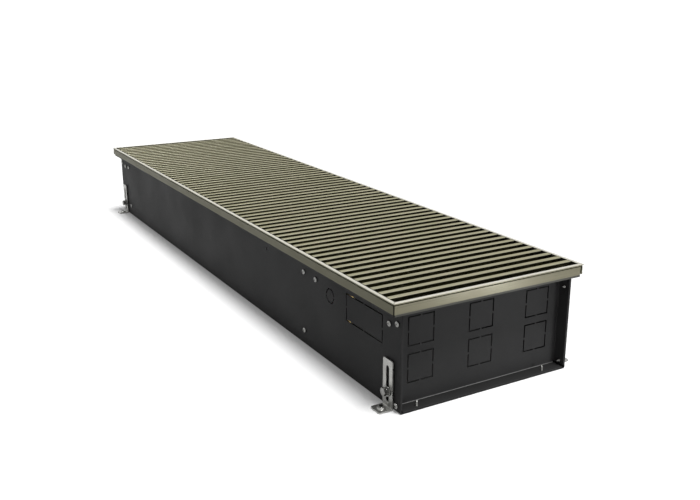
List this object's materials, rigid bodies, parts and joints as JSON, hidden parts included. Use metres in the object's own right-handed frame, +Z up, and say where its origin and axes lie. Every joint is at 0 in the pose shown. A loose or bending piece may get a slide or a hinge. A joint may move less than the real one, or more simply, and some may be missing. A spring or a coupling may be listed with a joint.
{
  "type": "trench convector heater",
  "caption": "Floor trench convector heater with a coated steel trough, finned copper heat exchanger, aluminium frame, lift-out roll-up grille and height-adjustable feet.",
  "frame": {"origin": "middle of the trough's underside, on the floor that the trough stands on", "axes": "+X along the trough to the end with the connection bay, +Y across it away from the wall with the cable and pipe knock-outs, +Z up"},
  "size_m": [1.2, 0.316, 0.15],
  "materials": {
    "trough_coat": "dark grey powder coat, matt",
    "frame_anodised": "satin anodised, light champagne tone",
    "slat_anodised": "satin anodised",
    "rest_strip_rubber": "soft matt",
    "fin_aluminium": "bare sheet",
    "tube_copper": "bare copper, dulled",
    "fitting_brass": "machined",
    "foot_zinc": "bright zinc plate",
    "fastener_zinc": "bright zinc plate"
  },
  "bodies": {
    "casing": {"trough": "trough_coat", "end_plate_near": "trough_coat", "end_plate_far": "trough_coat", "exchanger_bracket_near": "trough_coat", "exchanger_bracket_far": "trough_coat", "air_guide_plate": "trough_coat", "cross_brace_outer": "trough_coat", "cross_brace_inner": "trough_coat", "cross_brace_far": "trough_coat", "frame_long_front": "frame_anodised", "frame_long_rear": "frame_anodised", "frame_end_near": "frame_anodised", "frame_end_far": "frame_anodised", "grille_rest_strip_front": "rest_strip_rubber", "grille_rest_strip_rear": "rest_strip_rubber", "fin_pack": "fin_aluminium", "hairpin_tube_lower": "tube_copper", "hairpin_tube_upper": "tube_copper", "return_bend": "tube_copper", "connector_return": "fitting_brass", "connector_flow": "fitting_brass", "air_vent_body": "fitting_brass", "foot_clamp_bolt_near_front": "fastener_zinc", "foot_washer_near_front": "fastener_zinc", "foot_rivet_nut_near_front": "fastener_zinc", "end_plate_screw_near_front_lower": "fastener_zinc", "bracket_screw_near_front_lower": "fastener_zinc", "end_plate_screw_near_front_upper": "fastener_zinc", "bracket_screw_near_front_upper": "fastener_zinc", "foot_clamp_bolt_near_rear": "fastener_zinc", "foot_washer_near_rear": "fastener_zinc", "foot_rivet_nut_near_rear": "fastener_zinc", "end_plate_screw_near_rear_lower": "fastener_zinc", "bracket_screw_near_rear_lower": "fastener_zinc", "end_plate_screw_near_rear_upper": "fastener_zinc", "bracket_screw_near_rear_upper": "fastener_zinc", "foot_clamp_bolt_far_front": "fastener_zinc", "foot_washer_far_front": "fastener_zinc", "foot_rivet_nut_far_front": "fastener_zinc", "end_plate_screw_far_front_lower": "fastener_zinc", "bracket_screw_far_front_lower": "fastener_zinc", "end_plate_screw_far_front_upper": "fastener_zinc", "bracket_screw_far_front_upper": "fastener_zinc", "foot_clamp_bolt_far_rear": "fastener_zinc", "foot_washer_far_rear": "fastener_zinc", "foot_rivet_nut_far_rear": "fastener_zinc", "end_plate_screw_far_rear_lower": "fastener_zinc", "bracket_screw_far_rear_lower": "fastener_zinc", "end_plate_screw_far_rear_upper": "fastener_zinc", "bracket_screw_far_rear_upper": "fastener_zinc"},
    "grille": {"roll_up_grille": "slat_anodised"},
    "air_vent_screw": {"air_vent_screw": "fitting_brass"},
    "foot_near_front": {"foot_bracket_near_front": "foot_zinc"},
    "levelling_screw_near_front": {"levelling_screw_near_front": "fastener_zinc"},
    "foot_near_rear": {"foot_bracket_near_rear": "foot_zinc"},
    "levelling_screw_near_rear": {"levelling_screw_near_rear": "fastener_zinc"},
    "foot_far_front": {"foot_bracket_far_front": "foot_zinc"},
    "levelling_screw_far_front": {"levelling_screw_far_front": "fastener_zinc"},
    "foot_far_rear": {"foot_bracket_far_rear": "foot_zinc"},
    "levelling_screw_far_rear": {"levelling_screw_far_rear": "fastener_zinc"}
  },
  "joints": [
    {"name": "grille_lift", "type": "slide", "parent": "casing", "child": "grille", "axis": [0, 0, 1], "range_m": [0, 0.06]},
    {"name": "foot_extend_near_front", "type": "slide", "parent": "casing", "child": "foot_near_front", "axis": [0, 0, -1], "range_m": [-0.0117, 0.0307]},
    {"name": "foot_extend_near_rear", "type": "slide", "parent": "casing", "child": "foot_near_rear", "axis": [0, 0, -1], "range_m": [-0.0117, 0.0307]},
    {"name": "foot_extend_far_front", "type": "slide", "parent": "casing", "child": "foot_far_front", "axis": [0, 0, -1], "range_m": [-0.0117, 0.0307]},
    {"name": "foot_extend_far_rear", "type": "slide", "parent": "casing", "child": "foot_far_rear", "axis": [0, 0, -1], "range_m": [-0.0117, 0.0307]},
    {"name": "levelling_turn_near_front", "type": "hinge", "parent": "foot_near_front", "child": "levelling_screw_near_front", "pos_m": [0.5704, -0.148, 0.002], "axis": [0, 0, 1], "range_deg": [-360, 360]},
    {"name": "levelling_turn_near_rear", "type": "hinge", "parent": "foot_near_rear", "child": "levelling_screw_near_rear", "pos_m": [0.5704, 0.148, 0.002], "axis": [0, 0, 1], "range_deg": [-360, 360]},
    {"name": "levelling_turn_far_front", "type": "hinge", "parent": "foot_far_front", "child": "levelling_screw_far_front", "pos_m": [-0.5704, -0.148, 0.002], "axis": [0, 0, 1], "range_deg": [-360, 360]},
    {"name": "levelling_turn_far_rear", "type": "hinge", "parent": "foot_far_rear", "child": "levelling_screw_far_rear", "pos_m": [-0.5704, 0.148, 0.002], "axis": [0, 0, 1], "range_deg": [-360, 360]},
    {"name": "air_vent_turn", "type": "hinge", "parent": "casing", "child": "air_vent_screw", "pos_m": [0.3673, -0.082, 0.11], "axis": [0, 0, 1], "range_deg": [0, 360]}
  ]
}
